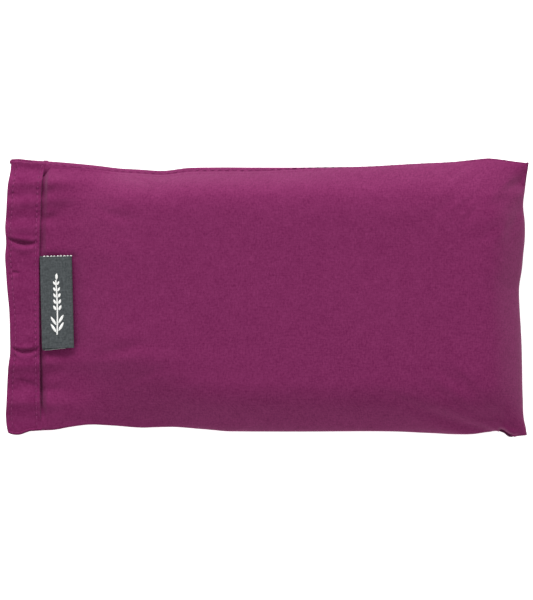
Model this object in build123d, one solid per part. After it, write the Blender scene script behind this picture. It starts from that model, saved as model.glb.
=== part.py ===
from build123d import *
import math
import os

os.makedirs("parts", exist_ok=True)

# An eye pillow: a slip cover of plain-weave cotton with a topstitched cuff round its open mouth,
# over a sewn cotton pouch that holds flax seed and lavender buds. It lies on a table, mouth at -X.
# Millimetres, +Z up, origin under the middle of the pillow on the face that it rests on.

# ---------------------------------------------------------------- driving dimensions
LENGTH = 216.0  # mouth edge to the end seam's corners, 8.5 in
HALF_LENGTH = LENGTH / 2
SIDE_HALF = 53.4  # half width of the filled body, where the fill draws the sides in
CORNER_FLARE = 3.75  # extra half width at the four corners, where the cloth lies flat (114.3 mm, 4.5 in)
CUFF_DEPTH = 14.3  # mouth edge to the cuff's seam
CUFF_X = -HALF_LENGTH + CUFF_DEPTH
END_BOW = 3.0  # how far the end seam's middle is drawn in from its corners
MOUTH_BOW = 2.0  # how far the mouth's middle stands out past its corners

CROWN = 19.8  # top of the filled cover
CLOTH = 0.8  # cover cloth with its turned edges, measured vertically
RIM_TOP = 7.3  # outer face of the front panel at the side and end seams
RIM_LOW = 4.9  # outer face of the back panel at those seams
FLAT_HALF = 42.0  # the base lies flat this far to each side
FLAT_END = 95.0  # and this far toward the end seam
MOUTH_RAMP = 44.0  # the front panel climbs to its full height over this length
MOUTH_ARCH = 1.5  # rise of the front lip between the mouth's corners
CUFF_FRONT = 1.2  # front cuff: cloth folded double over its facing
CUFF_BACK = 1.1
CUFF_PROUD = 0.2
CUFF_FLOOR = 0.3  # the back cuff's underside above the table, room for its stitching

POUCH_HALF = 48.0
POUCH_FLARE = 1.2
POUCH_X0, POUCH_X1 = -91.5, 101.0  # the pouch's corners
POUCH_BOW = 2.0
POUCH_CLOTH = 0.6
POUCH_TOP = 18.5
POUCH_BASE = 1.8
POUCH_RIM_TOP = 6.5
POUCH_RIM_LOW = 4.9

THREAD = 0.45
ROW_IN = 1.9  # topstitching in from the cuff's edges
SEAM_IN = 2.0  # seam in from the outline
SEAM_Z = 5.88
FILL_GAP = 0.1
FILL_INSET = 2.5

LABEL_WIDTH = 39.2  # along the seam
LABEL_REACH = 13.6  # seam to fold
LABEL_THICK = 1.0
LABEL_LEAF = 0.35
LABEL_SLOPE = 12.0  # degrees, how steeply it lies on the swell of the front panel
LABEL_AT = Vector(CUFF_X + 0.75, -1.7, 9.75)  # the seam line that it turns about

BUD_LENGTH, BUD_WIDTH = 6.0, 2.6
N_BUDS = 14


def swell(t):
    """0 before t=0, 1 after t=1, level at both."""
    t = min(1.0, max(0.0, t))
    return t * t * t * (10 + t * (6 * t - 15))


def side(x):
    """The cover's half width at x."""
    return SIDE_HALF + CORNER_FLARE * (
        math.exp(-(((x + HALF_LENGTH) / 22) ** 2)) + math.exp(-(((x - HALF_LENGTH) / 26) ** 2))
    )


CORNER = side(HALF_LENGTH)


def end_x(y):
    return HALF_LENGTH - END_BOW * (1 - min(1.1, abs(y) / CORNER) ** 3)


def mouth_x(y):
    return -HALF_LENGTH + MOUTH_BOW * min(1.1, abs(y) / CORNER) ** 4


def bulge(d, reach):
    """0 outside the seam (d < 0), climbing steeply at first and level with 1 by d = reach: a filled bag's round flank."""
    s = (math.sqrt(d * d + 2.6) + d) / 2 / reach
    left = (math.sqrt((1 - s) ** 2 + 0.0016) + (1 - s)) / 2
    return 1 - left**2.5


def crown(y):
    """1 along the middle, a little less toward the sides."""
    return 1 - 0.05 * min(1.0, (y / 40) ** 2)


def front_edge(x, y):
    """Height of the front panel's outer face before the fill lifts it."""
    return RIM_TOP + MOUTH_ARCH * (1 - min(1.0, abs(y) / side(x)) ** 2)


def front_top(x, y):
    edge = front_edge(x, y)
    lift = (
        bulge(side(x) - abs(y) - 2.2, 18)
        * bulge(end_x(y) - x - 2.2, 15)
        * swell((x - CUFF_X) / MOUTH_RAMP)
    )
    return edge + (CROWN - edge) * lift * crown(y)


def rise(d, start, reach):
    """The base's climb to the seams: 0 up to start, RIM_LOW past start + reach."""
    return RIM_LOW * swell((d - start) / reach)


def cuff_low(x, y):
    return CUFF_FLOOR + (RIM_LOW - 0.2 - CUFF_FLOOR) * (1 - swell((side(x) - abs(y)) / 14))


def pouch_side(x):
    return POUCH_HALF + POUCH_FLARE * (
        math.exp(-(((x - POUCH_X0) / 18) ** 2)) + math.exp(-(((x - POUCH_X1) / 18) ** 2))
    )


POUCH_CORNER = pouch_side(POUCH_X1)


def pouch_ends(y):
    bow = POUCH_BOW * (1 - min(1.1, abs(y) / POUCH_CORNER) ** 3)
    return POUCH_X0 + bow, POUCH_X1 - bow


def pouch_top(x, y):
    x0, x1 = pouch_ends(y)
    lift = bulge(pouch_side(x) - abs(y) - 0.9, 16) * bulge(x1 - x - 0.9, 14) * swell((x - x0) / 42)
    return POUCH_RIM_TOP + (POUCH_TOP - POUCH_RIM_TOP) * lift * crown(y)


def pouch_low(x, y):
    x0, x1 = pouch_ends(y)
    drop = swell((pouch_side(x) - abs(y)) / 12) * swell((x1 - x) / 12) * swell((x - x0) / 12)
    return POUCH_RIM_LOW - (POUCH_RIM_LOW - POUCH_BASE) * drop


# ---------------------------------------------------------------- helpers
def spot(u, v, half, x0_at, x1_at, inset=0.0):
    """Plan position of (u, v) in a four-cornered outline, u from end to end and v from -1 to 1 across."""
    x, y = 0.0, 0.0
    for _ in range(12):
        y = v * (half(x) - inset)
        x = (1 - u) * (x0_at(y) + inset) + u * (x1_at(y) - inset)
    return x, y


def skin(height, outline, thickness, lift=0.0, inset=0.0, nu=96, nv=61):
    """Cloth of an even vertical thickness whose lower face follows height(x, y) inside the outline."""
    points = []
    for i in range(nu):
        row = []
        for j in range(nv):
            x, y = spot(i / (nu - 1), -1 + 2 * j / (nv - 1), *outline, inset)
            row.append(Vector(x, y, height(x, y) + lift))
        points.append(row)
    face = Face.make_surface_from_array_of_points(points, tol=0.003, min_deg=3, max_deg=3)
    return Solid.extrude(face, Vector(0, 0, thickness))


def run(points_in_plan, height, lift, wide, tall):
    """A thread lying along a line of plan points at height(x, y), wide across and tall upward."""
    rows = []
    for k, (x, y) in enumerate(points_in_plan):
        xa, ya = points_in_plan[max(0, k - 1)]
        xb, yb = points_in_plan[min(len(points_in_plan) - 1, k + 1)]
        n = math.hypot(xb - xa, yb - ya)
        ox, oy = -(yb - ya) / n * wide / 2, (xb - xa) / n * wide / 2
        rows.append([Vector(x + s * ox, y + s * oy, height(x, y) + lift) for s in (-1.0, -0.33, 0.33, 1.0)])
    face = Face.make_surface_from_array_of_points(rows, tol=0.003, min_deg=3, max_deg=3)
    return Solid.extrude(face, Vector(0, 0, tall))


def slab(x0, x1, y0, y1, z0, z1):
    return Pos((x0 + x1) / 2, (y0 + y1) / 2, (z0 + z1) / 2) * Box(x1 - x0, y1 - y0, z1 - z0)


def climb(start, reach, z, n=14):
    """A curve from (start, z) up to (start + reach, z + RIM_LOW)."""
    return [(start + reach * k / n, z + rise(start + reach * k / n, start, reach)) for k in range(n + 1)]


def dish(z):
    """All that lies above the back panel's face at z: a trough along X, closed by a ramp at the end seam."""
    far, top = 70.0, 40.0
    up = climb(FLAT_HALF, SIDE_HALF - 0.4 - FLAT_HALF, z)
    edges = [
        Edge.make_line((0, -FLAT_HALF, z), (0, FLAT_HALF, z)),
        Spline(*[Vector(0, y, h) for y, h in up]).edge(),
        Edge.make_line((0, up[-1][0], up[-1][1]), (0, far, up[-1][1])),
        Edge.make_line((0, far, up[-1][1]), (0, far, top)),
        Edge.make_line((0, far, top), (0, -far, top)),
        Edge.make_line((0, -far, top), (0, -far, up[-1][1])),
        Edge.make_line((0, -far, up[-1][1]), (0, -up[-1][0], up[-1][1])),
        Spline(*[Vector(0, -y, h) for y, h in reversed(up)]).edge(),
    ]
    trough = Solid.extrude(Face(Wire(edges)).moved(Location((-130, 0, 0))), Vector(260, 0, 0))
    up = climb(FLAT_END, 9.6, z)
    edges = [
        Edge.make_line((-140, 0, z), (FLAT_END, 0, z)),
        Spline(*[Vector(x, 0, h) for x, h in up]).edge(),
        Edge.make_line((up[-1][0], 0, up[-1][1]), (140, 0, up[-1][1])),
        Edge.make_line((140, 0, up[-1][1]), (140, 0, top)),
        Edge.make_line((140, 0, top), (-140, 0, top)),
        Edge.make_line((-140, 0, top), (-140, 0, z)),
    ]
    ramp = Solid.extrude(Face(Wire(edges)).moved(Location((0, -80, 0))), Vector(0, 160, 0))
    return trough & ramp


def outline_prism(outline, n=24):
    """Everything inside a plan outline, from below the base to above the crown."""
    runs = [
        [spot(k / n, 1, *outline) for k in range(n + 1)],
        [spot(1, 1 - 2 * k / n, *outline) for k in range(n + 1)],
        [spot(1 - k / n, -1, *outline) for k in range(n + 1)],
        [spot(0, -1 + 2 * k / n, *outline) for k in range(n + 1)],
    ]
    for k in range(4):
        runs[k][-1] = runs[(k + 1) % 4][0]
    face = Face(Wire([Spline(*[Vector(x, y) for x, y in r]).edge() for r in runs]))
    return Solid.extrude(face.moved(Location((0, 0, -5))), Vector(0, 0, 40))


written = {}


def keep(name, shape):
    solids = shape.solids()
    for s in solids:
        assert s.volume > 0, name
    out = solids[0] if len(solids) == 1 else Compound(children=list(solids))
    out.label = name
    export_step(out, f"parts/{name}.step")
    written[name] = out
    box = out.bounding_box()
    print(
        f"{name:26s} solids {len(solids):3d} volume {sum(s.volume for s in solids):10.1f}"
        f"  x {box.min.X:8.2f} {box.max.X:8.2f}  y {box.min.Y:7.2f} {box.max.Y:7.2f}  z {box.min.Z:6.2f} {box.max.Z:6.2f}"
    )
    return out


# ---------------------------------------------------------------- slip cover
SEW_GAP = 0.05
body = (side, lambda y: CUFF_X + SEW_GAP, end_x)
cuff = (side, mouth_x, lambda y: CUFF_X - SEW_GAP)

keep("cover_front_panel", skin(front_top, body, CLOTH, lift=-CLOTH))
tray = dish(0) & outline_prism(body)
keep("cover_back_panel", tray - dish(CLOTH))
keep("mouth_cuff_front", skin(front_edge, cuff, CUFF_FRONT, lift=CUFF_PROUD - CUFF_FRONT, nu=12))
keep("mouth_cuff_back", skin(cuff_low, cuff, CUFF_BACK, nu=12))


# Topstitching, one lockstitch row along the mouth edge and one along the cuff's seam, on each lip.
def across(x_at, reach, n=41):
    return [(x_at(-reach + 2 * reach * k / (n - 1)), -reach + 2 * reach * k / (n - 1)) for k in range(n)]


edge_row = across(lambda y: mouth_x(y) + ROW_IN, CORNER - 1.8)
seam_row = across(lambda y: CUFF_X - ROW_IN, side(CUFF_X) - 1.4)
keep("mouth_topstitch_front", run(edge_row, front_edge, CUFF_PROUD + 0.01, THREAD, 0.25))
keep("mouth_topstitch_back", run(edge_row, cuff_low, -0.26, THREAD, 0.25))
keep("cuff_topstitch_front", run(seam_row, front_edge, CUFF_PROUD + 0.01, THREAD, 0.25))
keep("cuff_topstitch_back", run(seam_row, cuff_low, -0.26, THREAD, 0.25))

# Seam threads, lying between the turned edges of the two panels.
whole = (side, mouth_x, end_x)
along = [spot(0.006 + 0.984 * k / 60, 1, *whole, SEAM_IN) for k in range(61)]
round_end = [spot(1, -0.985 + 1.97 * k / 40, *whole, SEAM_IN) for k in range(41)]


def level(x, y):
    return 0.0


keep("side_seam_thread_left", run(along, level, SEAM_Z, THREAD, 0.34))
keep("side_seam_thread_right", run([(x, -y) for x, y in along], level, SEAM_Z, THREAD, 0.34))
keep("end_seam_thread", run(round_end, level, SEAM_Z, THREAD, 0.34))

# ---------------------------------------------------------------- folded woven label
label_at = Location(LABEL_AT, (0, -LABEL_SLOPE, 0))
half_t = LABEL_THICK / 2
outer = Wire(
    [
        Edge.make_line((0.1, -half_t), (LABEL_REACH - half_t, -half_t)),
        Edge.make_three_point_arc(
            (LABEL_REACH - half_t, -half_t), (LABEL_REACH, 0), (LABEL_REACH - half_t, half_t)
        ),
        Edge.make_line((LABEL_REACH - half_t, half_t), (0.1, half_t)),
        Edge.make_line((0.1, half_t), (0.1, half_t - LABEL_LEAF)),
        Edge.make_line((0.1, half_t - LABEL_LEAF), (LABEL_REACH - half_t, half_t - LABEL_LEAF)),
        Edge.make_three_point_arc(
            (LABEL_REACH - half_t, half_t - LABEL_LEAF),
            (LABEL_REACH - LABEL_LEAF, 0),
            (LABEL_REACH - half_t, -half_t + LABEL_LEAF),
        ),
        Edge.make_line((LABEL_REACH - half_t, -half_t + LABEL_LEAF), (0.1, -half_t + LABEL_LEAF)),
        Edge.make_line((0.1, -half_t + LABEL_LEAF), (0.1, -half_t)),
    ]
)
profile = Face(outer).rotate(Axis.X, 90)
ribbon = Solid.extrude(profile.moved(Location((0, LABEL_WIDTH / 2, 0))), Vector(0, -LABEL_WIDTH, 0))
keep("label_ribbon", ribbon.moved(label_at))

# A plain woven sprig, stem and paired buds, standing 0.15 off the ribbon.
sprig = [Pos(6.6, 0, half_t + 0.075) * Box(0.5, 27.0, 0.15)]
for k in range(6):
    y = -9.4 + 4.2 * k
    for s in (-1, 1):
        leaf = extrude(Ellipse(1.45, 0.62), 0.15)
        sprig.append(Pos(6.6 + s * 2.05, y + 0.9, half_t) * (Rot(0, 0, s * 38) * leaf))
keep("label_woven_sprig", Compound(children=[p.solid() for p in sprig]).moved(label_at))

# ---------------------------------------------------------------- inner pouch
pouch = (pouch_side, lambda y: pouch_ends(y)[0], lambda y: pouch_ends(y)[1])
keep("pouch_top_panel", skin(pouch_top, pouch, POUCH_CLOTH, lift=-POUCH_CLOTH))
keep("pouch_bottom_panel", skin(pouch_low, pouch, POUCH_CLOTH))

# One seam thread all round: two sides and two ends, meeting at the corners.
POUCH_THREAD_Z = POUCH_RIM_LOW + POUCH_CLOTH + 0.06
POUCH_THREAD_H = POUCH_RIM_TOP - POUCH_RIM_LOW - 2 * POUCH_CLOTH - 0.12
edge_run = [spot(k / 60, 1, *pouch, 1.0) for k in range(61)]
end_runs = [[spot(u, -1 + 2 * k / 40, *pouch, 1.0) for k in range(41)] for u in (0, 1)]
threads = [
    run(line, level, POUCH_THREAD_Z, THREAD, POUCH_THREAD_H)
    for line in (edge_run, [(x, -y) for x, y in edge_run], *end_runs)
]
keep("pouch_seam_thread", threads[0] + threads[1] + threads[2] + threads[3])
closing = [(pouch_ends(y)[0] + 3.4, y) for y in [-32 + 1.6 * k for k in range(41)]]
keep("pouch_closing_stitch", run(closing, pouch_top, 0.01, THREAD, 0.25))

# ---------------------------------------------------------------- fill
under = skin(pouch_low, pouch, 40, lift=POUCH_CLOTH + FILL_GAP, inset=FILL_INSET)
over = skin(pouch_top, pouch, 60, lift=-POUCH_CLOTH - FILL_GAP, inset=FILL_INSET - 1.5)
fill = under - over
fill = max(fill.solids(), key=lambda s: s.volume)

buds, hollows = [], []
for k in range(N_BUDS):
    a = 2.399963 * k
    r = math.sqrt((k + 0.5) / N_BUDS)
    x, y, z = 4 + 72 * r * math.cos(a), 30 * r * math.sin(a), 10.6 + 2.6 * math.sin(1.7 * k)
    turn = Location((x, y, z), (20 * math.sin(3.1 * k), 25 * math.cos(2.3 * k), 53 * k))
    for grow, into in ((0.0, buds), (0.12, hollows)):
        w, l = BUD_WIDTH / 2 + grow, BUD_LENGTH / 2 + grow
        half = Face(
            Wire(
                [
                    Spline(
                        Vector(-l, 0), Vector(-0.62 * l, 0.72 * w), Vector(0, w), Vector(0.6 * l, 0.78 * w), Vector(l, 0)
                    ).edge(),
                    Edge.make_line((l, 0), (-l, 0)),
                ]
            )
        )
        into.append(revolve(half, Axis.X, 360).solid().moved(turn))
for h in hollows:
    fill = fill - h
keep("flax_seed_fill", fill)
keep("lavender_buds", Compound(children=buds))

lo = [min(tuple(s.bounding_box().min)[i] for s in written.values()) for i in range(3)]
hi = [max(tuple(s.bounding_box().max)[i] for s in written.values()) for i in range(3)]
print("box", [round(v, 2) for v in lo], [round(v, 2) for v in hi])
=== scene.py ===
import math

import bpy
import numpy as np
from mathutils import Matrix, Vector
from mathutils.kdtree import KDTree


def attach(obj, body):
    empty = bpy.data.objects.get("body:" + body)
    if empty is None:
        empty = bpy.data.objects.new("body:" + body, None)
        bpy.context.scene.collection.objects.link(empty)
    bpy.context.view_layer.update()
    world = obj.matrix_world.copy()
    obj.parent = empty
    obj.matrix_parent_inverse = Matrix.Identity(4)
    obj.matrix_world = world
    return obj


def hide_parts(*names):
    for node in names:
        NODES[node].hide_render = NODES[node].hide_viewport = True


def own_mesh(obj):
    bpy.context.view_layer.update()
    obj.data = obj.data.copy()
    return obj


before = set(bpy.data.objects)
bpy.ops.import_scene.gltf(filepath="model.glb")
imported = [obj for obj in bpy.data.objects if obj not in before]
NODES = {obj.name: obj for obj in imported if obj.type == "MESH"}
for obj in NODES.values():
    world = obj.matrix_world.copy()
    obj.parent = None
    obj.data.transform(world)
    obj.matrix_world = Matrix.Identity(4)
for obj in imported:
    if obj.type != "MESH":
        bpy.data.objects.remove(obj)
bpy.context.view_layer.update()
MM = 0.001


# ------------------------------------------------------------------ small maths
def table(points):
    """A smooth curve through (key, value) points."""
    pts = sorted(points)
    k = np.array([p[0] for p in pts], float)
    v = np.array([p[1] for p in pts], float)
    m = np.gradient(v, k)

    def at(q):
        q = np.clip(np.asarray(q, float), k[0], k[-1])
        i = np.clip(np.searchsorted(k, q) - 1, 0, len(k) - 2)
        h = k[i + 1] - k[i]
        t = (q - k[i]) / h
        t2, t3 = t * t, t * t * t
        return (
            (2 * t3 - 3 * t2 + 1) * v[i]
            + (t3 - 2 * t2 + t) * h * m[i]
            + (3 * t2 - 2 * t3) * v[i + 1]
            + (t3 - t2) * h * m[i + 1]
        )

    return at


def swell(t):
    t = np.clip(t, 0, 1)
    return t * t * t * (10 + t * (6 * t - 15))


def smooth(t):
    t = np.clip(t, 0, 1)
    return t * t * (3 - 2 * t)


def bump(d, w):
    return np.exp(-((np.asarray(d, float) / w) ** 2))


def bulge(d, reach, soft=1.0, power=2.5):
    """A filled bag's round flank: 0 at the seam, steep at first, level at d = reach."""
    d = np.asarray(d, float)
    s = (np.sqrt(d * d + soft) + d) / 2 / reach
    left = (np.sqrt((1 - s) ** 2 + 0.0016) + (1 - s)) / 2
    return 1 - left**power


def lattice(seed, n=64):
    return np.random.default_rng(seed).standard_normal((n, n))


def noise2(x, y, scale, seed):
    """Smooth value noise, about -1 to 1, with features of that size."""
    g = lattice(seed)
    n = len(g)
    u, v = np.asarray(x, float) / scale + 17.3, np.asarray(y, float) / scale + 9.1
    i, j = np.floor(u).astype(int), np.floor(v).astype(int)
    a, b = u - i, v - j
    a, b = a * a * (3 - 2 * a), b * b * (3 - 2 * b)
    i0, j0, i1, j1 = i % n, j % n, (i + 1) % n, (j + 1) % n
    return 0.62 * (
        g[i0, j0] * (1 - a) * (1 - b) + g[i1, j0] * a * (1 - b) + g[i0, j1] * (1 - a) * b + g[i1, j1] * a * b
    )


# ------------------------------------------------------------------ the pillow's outline, mm
HALF = 108.0
CUFF_X = -93.7
# half widths, away from the viewer (+Y) and towards (-Y), at points along X
FAR = table(
    [(-109, 57.2), (-103, 57.6), (-98, 57.1), (-93.7, 56.8), (-86, 56.3), (-78, 55.6), (-70, 54.8), (-62, 53.8),
     (-52, 53.2), (-43, 52.7), (-33, 53.85), (-22, 54.1), (-3, 54.05), (22, 54.1), (44, 54.55), (56, 55.25), (66, 55.8),
     (78, 56.4), (87, 57.35), (92, 57.8), (98, 57.2), (104, 56.3), (109, 55.6)]
)
NEAR = table(
    [(-109, 54.8), (-106.5, 56.2), (-103, 56.7), (-98, 55.2), (-93.7, 54.8), (-88, 54.5), (-82, 53.5), (-74, 52.5),
     (-64, 52.9), (-52, 53.8), (-38, 53.5), (-28, 54.3), (-18, 55.2), (0, 55.45), (28, 55.4), (42, 55.3), (56, 55.5),
     (66, 56.0), (86, 56.3), (92, 55.5), (96.9, 55.3), (98.7, 56.0), (100.2, 57.25), (101.4, 57.55), (104.0, 57.05),
     (107, 56.4), (109, 55.2)]
)
END = table(
    [(-58, 106.2), (-55.6, 107.3), (-53.6, 107.45), (-50, 106.5), (-42, 106.0), (-29, 105.7), (-20, 105.5), (-12, 105.1),
     (-4, 104.6), (4, 104.4), (12, 105.6), (18, 106.15), (25, 106.8), (31, 106.75), (38.4, 106.05), (45.4, 106.95),
     (50, 107.6), (54, 108.3), (58, 108.6)]
)
MOUTH = table(
    [(-58, -104.6), (-55.8, -106.1), (-54.1, -106.9), (-52.1, -107.6), (-49.5, -107.95), (-43.8, -107.65),
     (-33.4, -107.2), (-29, -106.85), (-24, -106.2), (-14.7, -106.15), (-6, -106.4), (3.9, -107.3), (12.2, -107.9),
     (16.4, -108.15), (22.5, -107.75), (28.8, -108.1), (36, -107.65), (47.5, -106.9), (52, -106.1), (58, -105.4)]
)


def normals(P):
    du = np.gradient(P, axis=0)
    dv = np.gradient(P, axis=1)
    n = np.cross(du, dv)
    return n / np.maximum(np.linalg.norm(n, axis=-1, keepdims=True), 1e-12)


# ------------------------------------------------------------------ meshes
def new_object(name, verts, faces, uvs=None, mat=None, smooth_it=True):
    """verts in mm. uvs is one (u, v) for each vertex, in mm of cloth."""
    me = bpy.data.meshes.new(name)
    me.from_pydata((np.asarray(verts, float) * MM).tolist(), [], [tuple(int(i) for i in f) for f in faces])
    me.validate()
    if uvs is not None:
        layer = me.uv_layers.new(name="Cloth")
        loops = np.zeros(len(me.loops), np.int32)
        me.loops.foreach_get("vertex_index", loops)
        layer.data.foreach_set("uv", np.asarray(uvs, np.float32)[loops].ravel())
    me.update()
    ob = bpy.data.objects.new(name, me)
    bpy.context.scene.collection.objects.link(ob)
    if smooth_it:
        me.polygons.foreach_set("use_smooth", [True] * len(me.polygons))
    if mat is not None:
        me.materials.append(mat)
    return ob


def grid_faces(nu, nv, start=0, flip=False):
    i, j = np.meshgrid(np.arange(nu - 1), np.arange(nv - 1), indexing="ij")
    a = start + i * nv + j
    f = np.stack([a, a + nv, a + nv + 1, a + 1], -1).reshape(-1, 4)
    return f[:, ::-1] if flip else f


def cloth_slab(name, outer, thick, F, mat, up=True, rim_round=0.5):
    """Cloth of that thickness whose outer face is the grid, closed round its edges."""
    nu, nv = outer.shape[:2]
    n = normals(outer)
    if (n[..., 2].mean() > 0) != up:
        n = -n
    t = np.broadcast_to(np.asarray(thick, float), (nu, nv))[..., None]
    inner = outer - n * t
    V = np.concatenate([outer.reshape(-1, 3), inner.reshape(-1, 3)])
    base = nu * nv
    natural_up = np.cross(outer[1, 0] - outer[0, 0], outer[0, 1] - outer[0, 0])[2] > 0
    f_out = grid_faces(nu, nv, 0, flip=(natural_up != up))
    f_in = grid_faces(nu, nv, base, flip=(natural_up == up))
    ring = (
        [(i, 0) for i in range(nu)]
        + [(nu - 1, j) for j in range(1, nv)]
        + [(i, nv - 1) for i in range(nu - 2, -1, -1)]
        + [(0, j) for j in range(nv - 2, 0, -1)]
    )
    idx = np.array([i * nv + j for i, j in ring])
    nxt = np.roll(idx, -1)
    rim = np.stack([idx, idx + base, nxt + base, nxt], -1)
    if natural_up != up:
        rim = rim[:, ::-1]
    faces = np.concatenate([f_out, f_in, rim])
    uv = np.concatenate([F.reshape(-1, 2), F.reshape(-1, 2)])
    return new_object(name, V, faces, uv, mat)


def tube(path, radius, sides=8, closed_ends=True, squash=1.0, twist=None):
    """Vertices and faces of a round thread along a path of points, thinning at its ends where radius does."""
    path = np.asarray(path, float)
    r = np.broadcast_to(np.asarray(radius, float), (len(path),))
    t = np.gradient(path, axis=0)
    t /= np.maximum(np.linalg.norm(t, axis=1, keepdims=True), 1e-12)
    up = np.array([0, 0, 1.0])
    side = np.cross(t, up)
    bad = np.linalg.norm(side, axis=1) < 1e-3
    side[bad] = [1, 0, 0]
    side /= np.linalg.norm(side, axis=1, keepdims=True)
    nrm = np.cross(side, t)
    a = np.linspace(0, 2 * np.pi, sides, endpoint=False)
    V = (
        path[:, None, :]
        + side[:, None, :] * (np.cos(a)[None, :, None] * r[:, None, None])
        + nrm[:, None, :] * (np.sin(a)[None, :, None] * r[:, None, None] * squash)
    ).reshape(-1, 3)
    faces = []
    for k in range(len(path) - 1):
        for s in range(sides):
            p, q = k * sides + s, k * sides + (s + 1) % sides
            faces.append((p, q, q + sides, p + sides))
    faces.append(tuple(range(sides))[::-1])
    faces.append(tuple((len(path) - 1) * sides + s for s in range(sides)))
    return V, faces


def stitches(name, line, normal, pitch, share, radius, mat, sink=0.32, proud=0.12, jitter=0.05, seed=1):
    """A row of lockstitches along a line of points: short threads that rise from the cloth and dip back in."""
    line = np.asarray(line, float)
    normal = np.asarray(normal, float)
    s = np.concatenate([[0], np.cumsum(np.linalg.norm(np.diff(line, axis=0), axis=1))])
    r = np.random.default_rng(seed)
    V, Fs, base = [], [], 0
    k = 0
    pos = pitch * 0.5
    while pos + pitch * share < s[-1]:
        a = pos + r.normal(0, jitter) * pitch
        b = a + pitch * share * (1 + r.normal(0, 0.05))
        q = np.linspace(a, b, 7)
        pts = np.stack([np.interp(q, s, line[:, c]) for c in range(3)], -1)
        nn = np.stack([np.interp(q, s, normal[:, c]) for c in range(3)], -1)
        rise = np.array([-sink, -0.02, proud * 0.8, proud, proud * 0.8, -0.02, -sink])
        pts = pts + nn * rise[:, None]
        rad = radius * np.array([0.8, 1.0, 1.0, 1.0, 1.0, 1.0, 0.8])
        v, f = tube(pts, rad, sides=7)
        V.append(v)
        Fs += [tuple(i + base for i in x) for x in f]
        base += len(v)
        pos += pitch
        k += 1
    return new_object(name, np.concatenate(V), Fs, None, mat)


# ------------------------------------------------------------------ materials
def nodes_of(mat):
    mat.use_nodes = True
    nt = mat.node_tree
    nt.nodes.clear()
    out = nt.nodes.new("ShaderNodeOutputMaterial")
    sh = nt.nodes.new("ShaderNodeBsdfPrincipled")
    nt.links.new(sh.outputs[0], out.inputs[0])
    return nt, sh


def math_node(nt, op, a, b=None, clamp=False):
    n = nt.nodes.new("ShaderNodeMath")
    n.operation = op
    n.use_clamp = clamp
    for k, v in enumerate((a, b)):
        if v is None:
            continue
        if isinstance(v, (int, float)):
            n.inputs[k].default_value = v
        else:
            nt.links.new(v, n.inputs[k])
    return n.outputs[0]


def stretched_noise(nt, coord, sx, sy, detail=2.0, rough=0.5, w=0.0):
    m = nt.nodes.new("ShaderNodeMapping")
    m.inputs["Scale"].default_value = (sx, sy, 1)
    m.inputs["Location"].default_value = (w * 3.1, w * 7.7, w)
    nt.links.new(coord, m.inputs["Vector"])
    n = nt.nodes.new("ShaderNodeTexNoise")
    n.inputs["Scale"].default_value = 1.0
    n.inputs["Detail"].default_value = detail
    n.inputs["Roughness"].default_value = rough
    nt.links.new(m.outputs[0], n.inputs["Vector"])
    return n.outputs["Fac"]


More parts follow.
